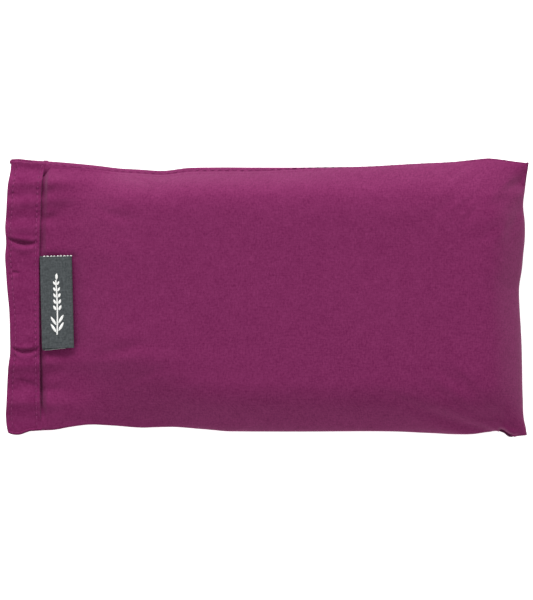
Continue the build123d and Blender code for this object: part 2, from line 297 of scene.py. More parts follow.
def woven(name, dark, light, pitch=0.42, slub=0.5, rough=0.85, sheen=0.25, sheen_tint=(1, 0.8, 0.95, 1), bump_h=0.05, spec=0.2, mottle=0.5):
    """Plain-weave cloth, patterned on its own flat cloth coordinates (mm): over-and-under threads, slubs both ways,
    slow tone changes, and painted shade in the grooves between threads.
    """
    mat = bpy.data.materials.new(name)
    nt, sh = nodes_of(mat)
    L = nt.links
    uv = nt.nodes.new("ShaderNodeUVMap")
    uv.uv_map = "Cloth"
    c = uv.outputs[0]
    sep = nt.nodes.new("ShaderNodeSeparateXYZ")
    L.new(c, sep.inputs[0])
    k = math.pi / pitch
    # threads wander a little
    wob = stretched_noise(nt, c, 0.35, 0.35, 1.0, 0.5, 5)
    wv = math_node(nt, "MULTIPLY", math_node(nt, "SUBTRACT", wob, 0.5), 0.5)
    X = math_node(nt, "ADD", sep.outputs[0], wv)
    Y = math_node(nt, "ADD", sep.outputs[1], wv)
    sx = math_node(nt, "SINE", math_node(nt, "MULTIPLY", X, k))
    sy = math_node(nt, "SINE", math_node(nt, "MULTIPLY", Y, k))
    over = math_node(nt, "MULTIPLY", sx, sy)  # checker of raised warp and weft
    weave = math_node(nt, "MULTIPLY_ADD", over, 0.5)
    nt.nodes[-1].inputs[2].default_value = 0.5
    ax = math_node(nt, "ABSOLUTE", sx)
    ay = math_node(nt, "ABSOLUTE", sy)
    gaps = math_node(nt, "MULTIPLY", ax, ay)
    warp = stretched_noise(nt, c, 1.9, 0.42, 1.0, 0.6, 1)
    weft = stretched_noise(nt, c, 0.42, 1.9, 1.0, 0.6, 2)
    fine = stretched_noise(nt, c, 1.12, 1.12, 2.0, 0.55, 3)
    slow = stretched_noise(nt, c, 0.03, 0.03, 2.0, 0.5, 4)
    tone = math_node(nt, "ADD", math_node(nt, "MULTIPLY", math_node(nt, "SUBTRACT", warp, 0.5), 0.95 * slub),
                     math_node(nt, "MULTIPLY", math_node(nt, "SUBTRACT", weft, 0.5), 0.80 * slub))
    tone = math_node(nt, "ADD", tone, math_node(nt, "MULTIPLY", math_node(nt, "SUBTRACT", fine, 0.5), 1.45 * slub))
    tone = math_node(nt, "ADD", tone, math_node(nt, "MULTIPLY", math_node(nt, "SUBTRACT", slow, 0.5), 0.35 * mottle))
    patch = stretched_noise(nt, c, 0.20, 0.20, 1.0, 0.5, 6)
    tone = math_node(nt, "ADD", tone, math_node(nt, "MULTIPLY", math_node(nt, "SUBTRACT", patch, 0.5), 0.55 * mottle))
    # painted shade: the tone darkens in the grooves between threads, where the bump also sinks
    tone = math_node(nt, "ADD", tone, math_node(nt, "MULTIPLY", math_node(nt, "SUBTRACT", gaps, 0.4), 0.22))
    tone = math_node(nt, "ADD", tone, 0.5, clamp=True)
    ramp = nt.nodes.new("ShaderNodeMix")
    ramp.data_type = "RGBA"
    ramp.inputs[6].default_value = (*dark, 1)
    ramp.inputs[7].default_value = (*light, 1)
    L.new(tone, ramp.inputs[0])
    L.new(ramp.outputs[2], sh.inputs["Base Color"])
    rgh = math_node(nt, "MULTIPLY_ADD", fine, 0.12)
    nt.nodes[-1].inputs[2].default_value = rough - 0.06
    L.new(rgh, sh.inputs["Roughness"])
    sh.inputs["Specular IOR Level"].default_value = spec
    sh.inputs["Sheen Weight"].default_value = sheen
    sh.inputs["Sheen Roughness"].default_value = 0.5
    sh.inputs["Sheen Tint"].default_value = sheen_tint
    h = math_node(nt, "ADD", math_node(nt, "MULTIPLY", weave, 0.35), math_node(nt, "MULTIPLY", gaps, 0.65))
    h = math_node(nt, "ADD", h, math_node(nt, "MULTIPLY", math_node(nt, "ADD", warp, weft), 1.1))
    bp = nt.nodes.new("ShaderNodeBump")
    bp.inputs["Strength"].default_value = 0.6
    bp.inputs["Distance"].default_value = bump_h * MM
    L.new(h, bp.inputs["Height"])
    L.new(bp.outputs[0], sh.inputs["Normal"])
    return mat


def yarn(name, colour, rough=0.7, sheen=0.3, ply=0.9):
    """Twisted thread: fine plies in object space, with painted shade in the grooves between plies, and a soft sheen."""
    mat = bpy.data.materials.new(name)
    nt, sh = nodes_of(mat)
    tc = nt.nodes.new("ShaderNodeTexCoord")
    m = nt.nodes.new("ShaderNodeMapping")
    m.inputs["Rotation"].default_value = (0.4, 0.5, 0.75)
    nt.links.new(tc.outputs["Object"], m.inputs["Vector"])
    wv = nt.nodes.new("ShaderNodeTexWave")
    wv.inputs["Scale"].default_value = 1000 / ply
    wv.inputs["Distortion"].default_value = 2.0
    nt.links.new(m.outputs[0], wv.inputs["Vector"])
    # painted shade: the thread's colour is darkest where the bump sinks between plies
    mix = nt.nodes.new("ShaderNodeMix")
    mix.data_type = "RGBA"
    mix.inputs[6].default_value = (*[x * 0.72 for x in colour], 1)
    mix.inputs[7].default_value = (*[min(1, x * 1.15) for x in colour], 1)
    nt.links.new(wv.outputs["Fac"], mix.inputs[0])
    nt.links.new(mix.outputs[2], sh.inputs["Base Color"])
    bp = nt.nodes.new("ShaderNodeBump")
    bp.inputs["Strength"].default_value = 0.5
    bp.inputs["Distance"].default_value = 0.05 * MM
    nt.links.new(wv.outputs["Fac"], bp.inputs["Height"])
    nt.links.new(bp.outputs[0], sh.inputs["Normal"])
    sh.inputs["Roughness"].default_value = rough
    sh.inputs["Sheen Weight"].default_value = sheen
    sh.inputs["Specular IOR Level"].default_value = 0.15
    return mat


# ------------------------------------------------------------------ shape of the cover, mm
SEAM_FAR, SEAM_NEAR, CROWN = 6.0, 5.1, 19.7


def grade(n, c=0.6):
    """n samples from -1 to 1, closer together towards both ends."""
    t = np.linspace(-1, 1, n)
    return (1 - c) * t + c * np.sin(np.pi / 2 * t)


def peek(x):
    """How far the back panel shows beyond the seam on the far side."""
    return 0.35 + 1.15 * smooth((24 - np.asarray(x, float)) / 34)


def far_seam(x):
    return FAR(x) - peek(x)


TUCK = 0.9


def roll(d, w):
    """How far cloth rolls out over its seam, at a distance from the seam: none on it, most a little way in."""
    d = np.maximum(d, 0)
    return (d / w) * np.exp(1 - d / w)


def corner_gape(x):
    """Where the near seam shows outside the cloth, at the tuck in its end corner."""
    return smooth((x - 96.4) / 2.0) * smooth((103.0 - x) / 2.8)


def near_seam(x):
    return NEAR(x) - TUCK


def seam_z(y):
    return np.where(np.asarray(y) >= 0, SEAM_FAR, SEAM_NEAR)


def swell_up(d, reach, power=2.5):
    b0 = bulge(0.0, reach, 1.0, power)
    return np.clip((bulge(d, reach, 1.0, power) - b0) / (1 - b0), 0, 1)


# ridges (+) and furrows (-) that run along X across the cuff and into the panel, at points along Y: (y, height)
CREASES = table(
    [(-60, -0.2), (-56, -0.3), (-51.5, -0.95), (-47, -0.35), (-43.4, 0.75), (-41, 0.3), (-38.0, -0.8), (-32, -0.1),
     (-27.5, 1.2), (-24.4, 0.3), (-20.6, 0.4), (-15, 0.4), (-6, 0.1), (4, 0.4), (12, 0.15),
     (18.6, 0.7), (23.4, 0.5), (28.5, 1.15), (33.0, 0.45), (36.0, 0.95), (39.2, 1.6),
     (42.8, 0.8), (44.3, 1.05), (47.6, 1.9), (51.4, 0.7), (54, -0.2), (58, -0.5), (61, 0)]
)
# short sharp folds on the cuff: start, end, depth, half width, sag of the line between them (mm)
FOLDS = [
    ((-106.2, 24.2), (-95.8, 22.6), 1.75, 0.66, -0.75),
    ((-104.6, -21.2), (-94.9, -21.0), 1.35, 0.62, -1.3),
    ((-105.5, 10.6), (-102.4, 10.2), 0.55, 0.5, 0.0),
    ((-104.4, 46.2), (-96.5, 45.2), 0.16, 1.3, 0.2),
    ((-103.0, -34.2), (-95.5, -36.3), 0.35, 0.9, 0.0),
]


def fold_lines(x, y):
    """Each fold is a groove with a steep far wall and a rounded near lip."""
    z = np.zeros_like(np.asarray(x, float))
    for (x0, y0), (x1, y1), deep, w, sag in FOLDS:
        t = (x - x0) / (x1 - x0)
        line = y0 + (y1 - y0) * t + sag * 4 * t * (1 - t) + 0.16 * noise2(x, y * 0 + y0, 2.6, 35)
        d = y - line
        tt = np.clip((t + 0.1) / 1.2, 0, 1)
        mask = np.sin(np.pi * tt) ** 0.6 * (0.75 + 0.25 * np.cos(3.0 * (tt - 0.45)))
        w = w * (0.72 + 0.5 * mask)
        near, far = np.minimum(d, 0), np.maximum(d, 0)
        z = z + mask * deep * (-np.exp(-((far / (0.8 * w)) ** 2 + (near / (1.5 * w)) ** 2)) + 0.46 * np.exp(-(((d + 3.4 * w) / (2.1 * w)) ** 2)) + 0.30 * np.exp(-(((d - 2.2 * w) / (1.6 * w)) ** 2)))
    return z


# shallow creases in the panel, running in from the cuff's edge: start, end, depth, half width
PANEL_FOLDS = [
    ((-93.0, 43.6), (-85.6, 44.2), 0.24, 1.15),
    ((-93.0, 33.1), (-85.4, 33.6), 0.62, 1.15),
    ((-90.0, 37.4), (-75.0, 38.4), 0.26, 2.3),
    ((-93.0, -38.6), (-80.0, -37.6), 0.45, 1.9),
]


def panel_folds(x, y):
    z = np.zeros_like(np.asarray(x, float))
    for (x0, y0), (x1, y1), deep, w in PANEL_FOLDS:
        t = (x - x0) / (x1 - x0)
        line = y0 + (y1 - y0) * t + 0.3 * noise2(x, y * 0 + y0, 4.0, 37)
        d = y - line
        mask = smooth((t + 0.15) / 0.3) * smooth((1.05 - t) / 0.8)
        near, far = np.minimum(d, 0), np.maximum(d, 0)
        z = z + mask * deep * (-np.exp(-((far / (0.9 * w)) ** 2 + (near / (1.6 * w)) ** 2)) + 0.5 * bump(d - 2.0 * w, 1.3 * w))
    return z


def inner_edge(y):
    """Where the cuff's turned edge ends, along X."""
    return table([(-58, -93.4), (-40, -93.8), (-20, -93.9), (0, -94.0), (20, -93.9), (36, -93.4), (46, -93.0), (52, -92.2), (55, -91.2), (58, -90.2)])(y)


def cuff_top(x, y):
    """Outer face of the front cuff, before its own creases."""
    half = np.where(y >= 0, far_seam(x), near_seam(x))
    d = np.maximum(half - np.abs(y), 0)
    base = 6.9 + 2.1 * (1 - np.minimum(1, np.abs(y) / half) ** 1.8) - 0.55 * smooth((y - 43) / 9)
    floor = seam_z(y) + 0.55
    return floor + (base - floor) * swell_up(d, 6.0, 2.2)


def crease(x, y):
    """The cuff's creases and how they run out into the panel. They wander a little across the cuff."""
    x, y = np.asarray(x, float), np.asarray(y, float)
    lean = 0.05 * (x + 101) * np.sin(y * 0.11 + 0.6) + 0.4 * noise2(x, y, 9.0, 31)
    c = CREASES(y + lean)
    half = np.where(y >= 0, far_seam(x), near_seam(x))
    return c * smooth((half - np.abs(y)) / 5.0)


def puckers(x, y, dF, dN, dE):
    """Small gathers that the seam thread draws in: across the seam, uneven, gone a little way in."""
    def one(along, d, seed):
        n = 0.62 * noise2(along + 0.22 * d, 0 * along, 3.1, seed) + 0.38 * noise2(along - 0.3 * d, 0 * along, 1.7, seed + 1)
        strong = 0.55 + 0.45 * noise2(along, 0 * along, 23.0, seed + 2)
        return n * np.clip(strong, 0.1, 1.2) * smooth(d / 1.6) * np.exp(-np.maximum(d - 1.6, 0) / 4.2)

    return 0.34 * one(x, dN, 101) + 0.26 * one(x, dF, 105) + 0.30 * one(y, dE, 109)


def front_height(x, y):
    """The front panel's outer face where the pillow fills it."""
    dF = far_seam(x) - y
    dN = near_seam(x) + y
    dE = END(y) - 0.5 - x
    zs = SEAM_NEAR + (SEAM_FAR - SEAM_NEAR) * smooth((y + 30) / 60)
    kf, kn = 1 - swell((x + 93.7) / 40), 1 - swell((x + 93.7) / 82)
    reach = 19.0 + 26.0 * kf - 3.3 * bump(x + 30, 50) + 6.5 * smooth((x - 72) / 24)
    side = swell_up(dF, reach, 2.6 - 0.9 * kf - 0.5 * smooth((x - 72) / 24))
    side = side * swell_up(dN, 19.5 + 26.0 * kn, 2.35 - 0.75 * kn)
    end = swell_up(dE, 16.0, 2.4)
    rise = 0.18 + 0.82 * swell((x + 93.7) / 42)
    crown = 1 - 0.05 * np.minimum(1, (y / 40) ** 2)
    z = zs + (CROWN - zs) * side * end * rise * crown
    # ripples from the cuff fade into the panel
    fade = np.exp(-np.maximum(x + 93.7, 0) / 15.0)
    z = z + 1.0 * crease(x, y) * fade
    # a dent inside the far end corner
    z = z - 2.3 * bump(x - 104.4, 3.4) * bump(y - 47.6, 3.6)
    z = z + 0.5 * bump(x - 103.2, 3.0) * bump(y - 42.6, 3.0)
    # the cloth dips where the cuff's edge and the label press on it, and swells between them
    edge_x = inner_edge(y)
    dip = (1.15 + 0.5 * smooth((-y - 14) / 8)) * smooth((50.5 - y) / 8) * smooth(dN / 4)
    z = z - dip * np.exp(-(((x - edge_x - 0.2) / 0.52) ** 2))
    # it stands up beside the cuff's far corner
    z = z + 0.9 * smooth((y - 44) / 5) * smooth(dF / 3.0) * np.exp(-np.maximum(x + 92, 0) / 14) * smooth((x + 94) / 1.5)
    z = z + 2.1 * smooth((y - 22) / 20) * smooth(dF / 9.0) * np.exp(-np.maximum(x + 86, 0) / 18) * smooth((x + 94) / 5)
    z = z + panel_folds(x, y)
    z = z - 0.75 * bump(x + 79.3, 2.3) * smooth((21.5 - np.abs(y + 1.7)) / 4)
    swells = 1.0 * bump(y - 44.5, 6.5) + 1.45 * bump(y - 20.5, 9.0) - 0.9 * bump(y - 16.8, 1.7) * smooth((-77.5 - x) / 3)
    swells = swells + 1.5 * bump(y + 25.8, 4.2) + 2.1 * bump(y + 43.5, 11.0) * smooth(dN / 5.0)
    z = z + swells * np.exp(-np.maximum(x + 90, 0) / 24) * smooth((x + 93.6) / 3)
    # slow unevenness of the seeds below
    away = smooth(np.minimum(np.minimum(dF, dN), dE) / 10)
    z = z + away * (0.16 * noise2(x, y, 21.0, 3) + 0.07 * noise2(x, y, 9.0, 4) + 0.03 * noise2(x, y, 3.6, 5))
    z = z + 0.30 * np.exp(-(((dF - 0.75) / 0.42) ** 2))
    z = z + puckers(x, y, dF, dN, dE)
    return z


def front_grid(nu, nv):
    u = (grade(nu, 0.45) + 1) / 2
    v = grade(nv, 0.7)
    U, V = np.meshgrid(u, v, indexing="ij")
    x, y = np.zeros_like(U), np.zeros_like(U)
    for _ in range(14):
        y = np.where(V >= 0, V * far_seam(x), V * near_seam(x))
        x = (1 - U) * (-97.2) + U * (END(y) - 0.5)
    z = front_height(x, y)
    # under the cuff it lies against the cuff's lower face
    under = cuff_top(x, y) + crease(x, y) - 1.5
    k = smooth((inner_edge(y) + 2.6 - x) / 2.4)
    z = z * (1 - k) + np.minimum(z, under) * k
    # the near side rolls out past its seam before it turns under, the end a little
    dN = near_seam(x) + y
    dE = END(y) - 0.5 - x
    dF = far_seam(x) - y
    # it passes over the seam allowance that lies inside it
    gap = 6.0 - z
    z = z + 0.5 * (gap + np.sqrt(gap * gap + 0.03)) * smooth((dN - 0.9) / 1.2) * smooth((11.0 - dN) / 3.5) * smooth((-60 - x) / 12) * np.where(V < 0, 1, 0)
    y = y - 2.5 * roll(dN, 1.5) * np.where(V < 0, 1, 0) * (1 - 0.7 * corner_gape(x))
    x = x + 2.0 * roll(dE, 1.5)
    y = y + 1.1 * roll(dF, 1.5) * np.where(V > 0, 1, 0) * smooth((x - 10) / 30)
    # the tuck where the near end corner was turned: a deep short fold, and the cloth rides up beside it
    ax, ay, bx, by = 97.2, -54.9, 103.0, -58.6
    ux, uy = (bx - ax) / 6.88, (by - ay) / 6.88
    s_ = (x - ax) * ux + (y - ay) * uy
    d_ = -(x - ax) * uy + (y - ay) * ux + 0.35 * np.sin(s_ * 0.55)
    keep = smooth((s_ + 1.6) / 2.8) * smooth((7.6 - s_) / 2.4)
    trough = np.exp(-((np.maximum(d_, 0) / 0.7) ** 2 + (np.minimum(d_, 0) / 1.6) ** 2))
    z = z + keep * (-4.6 * trough + 1.3 * np.exp(-(((d_ - 1.9) / 1.2) ** 2)))
    lean = keep * 0.12 * np.exp(-(((d_ - 1.4) / 0.9) ** 2))
    x, y = x + lean * uy, y - lean * ux
    return np.stack([x, y, z], -1)


def flat_pattern(P):
    """Cloth coordinates of a grid: lengths along its own lines, from the middle line and from its start."""
    d = np.linalg.norm(np.diff(P, axis=0), axis=-1)
    X = np.concatenate([np.zeros((1, P.shape[1])), np.cumsum(d, 0)], 0)
    X = X + P[0, :, 0][None, :]
    e = np.linalg.norm(np.diff(P, axis=1), axis=-1)
    Y = np.concatenate([np.zeros((P.shape[0], 1)), np.cumsum(e, 1)], 1)
    mid = P.shape[1] // 2
    Y = Y - Y[:, mid : mid + 1] + P[:, mid : mid + 1, 1]
    return np.stack([X, Y], -1)


def resample(D, nu, nv):
    """A coarse grid's values on a finer grid with the same spacing rule."""
    a = np.linspace(0, D.shape[0] - 1, nu)
    b = np.linspace(0, D.shape[1] - 1, nv)
    i = np.minimum(a.astype(int), D.shape[0] - 2)
    j = np.minimum(b.astype(int), D.shape[1] - 2)
    fa, fb = smooth(a - i) * 0.5 + (a - i) * 0.5, smooth(b - j) * 0.5 + (b - j) * 0.5
    fa = fa.reshape(-1, 1, 1)
    fb = fb.reshape(1, -1, 1)
    A, B = D[np.ix_(i, j)], D[np.ix_(i + 1, j)]
    C, E = D[np.ix_(i, j + 1)], D[np.ix_(i + 1, j + 1)]
    return A * (1 - fa) * (1 - fb) + B * fa * (1 - fb) + C * (1 - fa) * fb + E * fa * fb


def blur(D, times=1):
    for _ in range(times):
        E = np.pad(D, ((1, 1), (1, 1), (0, 0)), mode="edge")
        D = (E[:-2, 1:-1] + E[2:, 1:-1] + E[1:-1, :-2] + E[1:-1, 2:] + 4 * D) / 8
    return D


def drape(name, P, pin, ease, pressure, cap, frames=20, up=1.0, bending=0.35):
    """Blender's cloth on a grid sewn down where pin is 1. The cloth is cut a little larger than its sewn outline
    (ease), so it puckers by itself. Run ten times life size. Gives how far each point moves, no more than cap."""
    nu, nv = pin.shape
    F = flat_pattern(P)
    S = 0.01
    me = bpy.data.meshes.new(name)
    faces = grid_faces(nu, nv)
    if up < 0:
        faces = faces[:, ::-1]
    me.from_pydata((P.reshape(-1, 3) * S).tolist(), [], faces.tolist())
    ob = bpy.data.objects.new(name, me)
    bpy.context.scene.collection.objects.link(ob)
    ob.shape_key_add(name="Basis")
    key = ob.shape_key_add(name="cut")
    G = np.concatenate([F * ease[..., None], np.zeros((nu, nv, 1))], -1).reshape(-1, 3) * S
    key.data.foreach_set("co", G.astype(np.float32).ravel())
    key.value = 0.0
    group = ob.vertex_groups.new(name="sewn")
    flat_pin = pin.ravel()
    for level in np.unique(np.round(flat_pin, 1)):
        if level > 0:
            group.add(np.nonzero(np.round(flat_pin, 1) == level)[0].tolist(), float(level), "REPLACE")
    mod = ob.modifiers.new("Cloth", "CLOTH")
    c = mod.settings
    c.quality = 6
    c.mass = 0.15
    c.tension_stiffness = c.compression_stiffness = 25
    c.shear_stiffness = 10
    c.bending_stiffness = bending
    c.tension_damping = c.compression_damping = c.shear_damping = 8
    c.bending_damping = 0.5
    c.air_damping = 4
    c.vertex_group_mass = "sewn"
    c.rest_shape_key = key
    c.use_pressure = True
    c.uniform_pressure_force = pressure
    c.effector_weights.gravity = 0
    mod.point_cache.frame_start = 1
    mod.point_cache.frame_end = frames
    mod.collision_settings.use_collision = False
    scene = bpy.context.scene
    for f in range(1, frames + 1):
        scene.frame_set(f)
    dg = bpy.context.evaluated_depsgraph_get()
    ev = ob.evaluated_get(dg)
    out = np.zeros(nu * nv * 3, np.float32)
    ev.data.vertices.foreach_get("co", out)
    D = out.reshape(nu, nv, 3).astype(float) / S - P
    if not np.isfinite(D).all():
        D = np.zeros_like(P)
    n = np.linalg.norm(D, axis=-1, keepdims=True)
    D = D * (cap * np.tanh(n / cap) / np.maximum(n, 1e-9))
    scene.frame_set(1)
    bpy.data.objects.remove(ob, do_unlink=True)
    bpy.data.meshes.remove(me)
    return D


# ------------------------------------------------------------------ materials in use
PLUM_DARK, PLUM_LIGHT = (0.088, 0.0008, 0.039), (0.188, 0.0235, 0.099)
cloth_mat = woven("cover_cotton", PLUM_DARK, PLUM_LIGHT, pitch=0.36, slub=0.56, spec=0.10, sheen=0.13, sheen_tint=(1.0, 0.70, 0.86, 1))
cuff_mat = woven("cuff_cotton", PLUM_DARK, PLUM_LIGHT, pitch=0.36, slub=0.60, spec=0.08, sheen=0.08, sheen_tint=(1.0, 0.70, 0.86, 1), mottle=0.8)
thread_mat = yarn("cover_thread_plum", (0.215, 0.030, 0.118), ply=0.45, sheen=0.0)
# painted shade: a near-black plum thread colour, used past x = 8 mm on the far seam and for the near end corner's tuck
thread_painted_shade_mat = yarn("seam_thread_painted_shade", (0.060, 0.004, 0.030), ply=0.45, sheen=0.0)
seam_soft_mat = yarn("seam_thread_plum", (0.165, 0.018, 0.088), ply=0.45, sheen=0.0)
label_mat = woven("label_ribbon_slate", (0.022, 0.026, 0.028), (0.078, 0.087, 0.091), pitch=0.30, slub=0.8, spec=0.15, sheen=0.05, sheen_tint=(1, 1, 1, 1), bump_h=0.04, mottle=0.2)
pale_mat = yarn("label_back_weft_grey", (0.30, 0.31, 0.31), ply=0.35)
pick_mat = yarn("label_weft_white", (0.80, 0.80, 0.78), ply=0.35)
muslin_mat = woven("pouch_muslin_natural", (0.46, 0.39, 0.28), (0.82, 0.76, 0.64), pitch=0.45, slub=0.7, sheen=0.08, sheen_tint=(1, 0.97, 0.9, 1), bump_h=0.06)
pouch_thread_mat = yarn("pouch_thread_cream", (0.78, 0.72, 0.60), ply=0.45)


def seeds(name, dark, light, size, rough, sx=1.0, sy=1.6):
    """Loose seeds or buds: cells with a tone of their own, painted shade darkening each cell towards its edges where
    they meet, and a glossy skin.
    """
    mat = bpy.data.materials.new(name)
    nt, sh = nodes_of(mat)
    tc = nt.nodes.new("ShaderNodeTexCoord")
    m = nt.nodes.new("ShaderNodeMapping")
    m.inputs["Scale"].default_value = (sx * 1000 / size, sy * 1000 / size, 1000 / size)
    nt.links.new(tc.outputs["Object"], m.inputs["Vector"])
    vo = nt.nodes.new("ShaderNodeTexVoronoi")
    vo.inputs["Scale"].default_value = 1.0
    nt.links.new(m.outputs[0], vo.inputs["Vector"])
    sep = nt.nodes.new("ShaderNodeSeparateColor")
    nt.links.new(vo.outputs["Color"], sep.inputs[0])
    mix = nt.nodes.new("ShaderNodeMix")
    mix.data_type = "RGBA"
    mix.inputs[6].default_value = (*dark, 1)
    mix.inputs[7].default_value = (*light, 1)
    # painted shade: each cell darkens towards its edges, where the seeds meet
    shade = math_node(nt, "SUBTRACT", sep.outputs[0], math_node(nt, "MULTIPLY", vo.outputs["Distance"], 0.8), clamp=True)
    nt.links.new(shade, mix.inputs[0])
    nt.links.new(mix.outputs[2], sh.inputs["Base Color"])
    bp = nt.nodes.new("ShaderNodeBump")
    bp.invert = True
    bp.inputs["Strength"].default_value = 0.8
    bp.inputs["Distance"].default_value = 0.5 * MM
    nt.links.new(vo.outputs["Distance"], bp.inputs["Height"])
    nt.links.new(bp.outputs[0], sh.inputs["Normal"])
    sh.inputs["Roughness"].default_value = rough
    return mat


flax_mat = seeds("flax_seed_brown", (0.035, 0.014, 0.006), (0.22, 0.10, 0.035), 3.2, 0.3)
bud_mat = seeds("lavender_dry_buds", (0.06, 0.045, 0.10), (0.26, 0.22, 0.34), 1.6, 0.8, 1.0, 1.0)


# ------------------------------------------------------------------ front panel
NU, NV = 300, 170
P = front_grid(NU, NV)
F = flat_pattern(P)
C = front_grid(150, 90)
pin = np.zeros(C.shape[:2])
pin[:5] = 1
pin[-1] = 1
pin[:, 0] = pin[:, -1] = 1
ease = np.full(C.shape[:2], 1.006)
D = drape("front_cloth_sim", C, pin, ease, 1.5, 2.2)
D = resample(blur(D, 2), NU, NV)
# its own slow swell is already in the shape: only the puckers are kept
D = D - 0.85 * blur(blur(D, 40), 40)
edge = np.minimum.outer(np.minimum(np.arange(NU), np.arange(NU)[::-1]), np.full(NV, 999))
edge = np.minimum(edge, np.minimum(np.arange(NV), np.arange(NV)[::-1])[None, :])
P = P + 0.8 * D * smooth(edge / 5.0)[..., None]
front = cloth_slab("cover_front_cloth", P, 0.45, F, cloth_mat)
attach(front, "cover")
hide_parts("cover_front_panel")


# ------------------------------------------------------------------ front cuff: a doubled hem, turned under at its inner edge
def cuff_grid(na, nv, front_side=True):
    a = (grade(na, 0.35) + 1) / 2
    v = grade(nv, 0.45)
    A, V = np.meshgrid(a, v, indexing="ij")
    x, y = np.zeros_like(A), np.zeros_like(A)
    for _ in range(12):
        y = np.where(V >= 0, V * far_seam(x), V * near_seam(x))
        x = (1 - A) * (MOUTH(y) - 0.2) + A * inner_edge(y)
    dF, dN = far_seam(x) - y, near_seam(x) + y
    if front_side:
        y2 = y - 2.2 * roll(dN, 1.3) * np.where(V < 0, 1, 0)
    else:
        y2 = y - 0.9 * roll(dN, 1.3) * np.where(V < 0, 1, 0) + (0.9 + 1.2 * peek(x)) * roll(dF, 1.6) * np.where(V > 0, 1, 0)
    return x, y, y2


def stitch_dip(x, y, along, width=0.5, pitch=2.4):
    """The cloth is drawn down along a row of stitches, and most at each needle hole."""
    d = x - along
    holes = 0.5 + 0.5 * np.cos(2 * np.pi * y / pitch)
    return -np.exp(-((d / width) ** 2)) * (0.10 + 0.22 * holes**3)


def row_mouth(y):
    return MOUTH(y) + 2.1


def row_inner(y):
    return inner_edge(y) - 1.75


def cuff_height(x, y):
    z = cuff_top(x, y) + crease(x, y) + fold_lines(x, y)
    e1 = np.clip((x - MOUTH(y) + 0.2) / 0.7, 0, 1)
    e2 = np.clip((inner_edge(y) - x) / 0.85, 0, 1)
    z = z - 0.55 * (1 - np.sqrt(np.clip(1 - (1 - e1) ** 2, 0, 1))) - 0.5 * (1 - np.sqrt(np.clip(1 - (1 - e2) ** 2, 0, 1)))
    # fullness between the two rows
    mid = (x - row_mouth(y)) / np.maximum(row_inner(y) - row_mouth(y), 1)
    z = z + 0.22 * np.sin(np.pi * np.clip(mid, 0, 1)) ** 0.7
    z = z + stitch_dip(x, y, row_mouth(y)) + stitch_dip(x, y + 0.7, row_inner(y))
    z = z + 0.10 * noise2(x, y, 4.2, 41) + 0.04 * noise2(x, y, 1.9, 42)
    # the label's root lifts the turned edge
    z = z + 0.45 * smooth((x + 99) / 5) * smooth((20.5 - np.abs(y + 1.7)) / 2.5)
    return z


X, Y, Y2 = cuff_grid(54, 430)
Z = cuff_height(X, Y)
G = np.stack([X, Y2, Z], -1)
cuff = cloth_slab("cuff_front_hem", G, 1.0, flat_pattern(G), cuff_mat)
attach(cuff, "cover")
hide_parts("mouth_cuff_front")


def row(name, line_x, z_of, ys, up, seed, node, mat=thread_mat, pitch=2.4, share=0.72, radius=0.19, proud=0.13):
    x = line_x(ys)
    z = z_of(x, ys)
    line = np.stack([x, ys, z], -1)
    nrm = np.tile([0, 0, 1.0 if up else -1.0], (len(ys), 1))
    ob = stitches(name, line, nrm, pitch, share, radius, mat, seed=seed, proud=proud)
    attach(ob, "cover")
    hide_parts(node)
    return ob


ys = np.linspace(-54.5, 55.0, 700)
row("topstitch_mouth_front", row_mouth, cuff_height, ys, True, 3, "mouth_topstitch_front")
row("topstitch_inner_front", row_inner, cuff_height, ys, True, 4, "cuff_topstitch_front")


# ------------------------------------------------------------------ back panel and back cuff
def back_height(x, y):
    """Outer (lower) face of the back panel: flat on the table, rolling up to the seams."""
    dF = FAR(x) - peek(x) - y
    dN = near_seam(x) + y
    dE = END(y) - 0.5 - x
    zs = SEAM_NEAR - 0.25 + (SEAM_FAR - SEAM_NEAR) * smooth((y + 30) / 60)
    k = swell_up(dF, 12.0, 2.3) * swell_up(dN, 12.5, 2.3) * swell_up(dE, 11.0, 2.2)
    z = zs * (1 - k)
    lift = 0.10 * noise2(x, y, 8.0, 51) + 0.05 * noise2(x, y, 3.4, 52)
    return np.maximum(z + np.maximum(lift, -0.02) * smooth((zs - z) / 1.0) * smooth(z / 0.8), 0.0)


def back_grid(nu, nv):
    u = (grade(nu, 0.45) + 1) / 2
    v = grade(nv, 0.7)
    U, V = np.meshgrid(u, v, indexing="ij")
    x, y = np.zeros_like(U), np.zeros_like(U)
    for _ in range(14):
        y = np.where(V >= 0, V * far_seam(x), V * near_seam(x))
        x = (1 - U) * (-97.2) + U * (END(y) - 0.5)
    z = back_height(x, y)
    under = cuff_back_low(x, y) + 1.0
    k = smooth((inner_edge(y) + 2.0 - x) / 2.4)
    z = z * (1 - k) + np.maximum(z, under) * k
    dF = far_seam(x) - y
    dE = END(y) - 0.5 - x
    dN = near_seam(x) + y
    y = y + (0.9 + 1.2 * peek(x)) * roll(dF, 1.6) * np.where(V > 0, 1, 0)
    z = z - 0.62 * peek(x) * roll(dF, 0.75) * np.where(V > 0, 1, 0)
    z = z + 0.22 * noise2(x, 0 * x, 3.1, 121) * smooth(dF / 1.5) * np.exp(-dF / 3.5) + 0.22 * noise2(x, 0 * x, 3.3, 122) * smooth(dN / 1.5) * np.exp(-dN / 3.5)
    z = np.maximum(z, 0)
    x = x + 0.9 * roll(dE, 1.6)
    y = y - 0.9 * roll(dN, 1.6) * np.where(V < 0, 1, 0)
    return np.stack([x, y, z], -1)


def cuff_back_low(x, y):
    half = np.where(y >= 0, far_seam(x), near_seam(x))
    d = np.maximum(half - np.abs(y), 0)
    zs = seam_z(y) - 0.65
    return 0.05 + (zs - 0.05) * (1 - swell_up(d, 14.0, 2.2))


